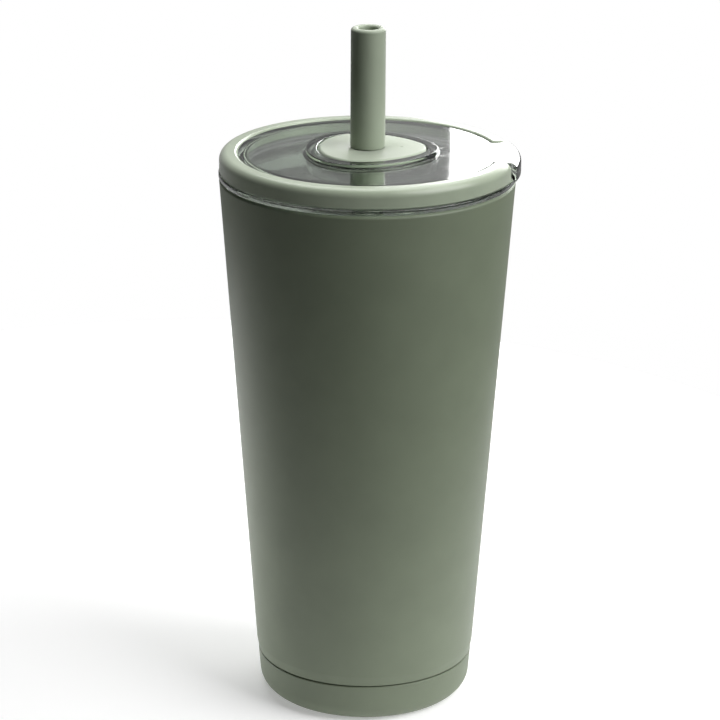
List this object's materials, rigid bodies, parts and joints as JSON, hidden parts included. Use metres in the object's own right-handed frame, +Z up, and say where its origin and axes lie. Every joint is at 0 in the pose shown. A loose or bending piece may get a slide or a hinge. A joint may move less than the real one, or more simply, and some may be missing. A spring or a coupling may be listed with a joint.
{
  "type": "insulated tumbler with lid",
  "caption": "Tapered vacuum-insulated tumbler with a press-in clear lid, a trim ring open at the lift tab, an egg-shaped plug with a soft straw, and a soft base boot.",
  "frame": {"origin": "centre of the base, on the surface that the tumbler stands on", "axes": "+Z up along the cup's axis and the straw, +X towards the lid's lift tab"},
  "size_m": [0.0895, 0.0882, 0.208],
  "materials": {
    "powder_coat": "fine matt powder coat, grey-green",
    "stainless_steel": "electropolished stainless steel",
    "getter_metal": "dull sintered metal",
    "boot_silicone": "matt silicone, grey-green",
    "clear_plastic": "clear polished copolyester",
    "ring_plastic": "soft satin, light grey-green",
    "gasket_silicone": "milky translucent silicone",
    "sage_silicone": "matt silicone, light grey-green"
  },
  "bodies": {
    "cup": {"outer_shell": "powder_coat", "inner_liner": "stainless_steel", "outer_base": "stainless_steel", "vacuum_seal": "getter_metal", "getter_holder": "stainless_steel", "getter_pellet": "getter_metal", "base_boot": "boot_silicone"},
    "lid": {"lid_body": "clear_plastic", "lid_ring": "ring_plastic", "lid_gasket": "gasket_silicone"},
    "straw": {"straw_plug": "sage_silicone", "mouth_straw": "sage_silicone", "lower_straw": "clear_plastic"}
  },
  "joints": [
    {"name": "lid_lift", "type": "slide", "parent": "cup", "child": "lid", "axis": [0, 0, 1], "range_m": [0, 0.165]},
    {"name": "straw_lift", "type": "slide", "parent": "lid", "child": "straw", "axis": [0, 0, 1], "range_m": [0, 0.165]}
  ]
}
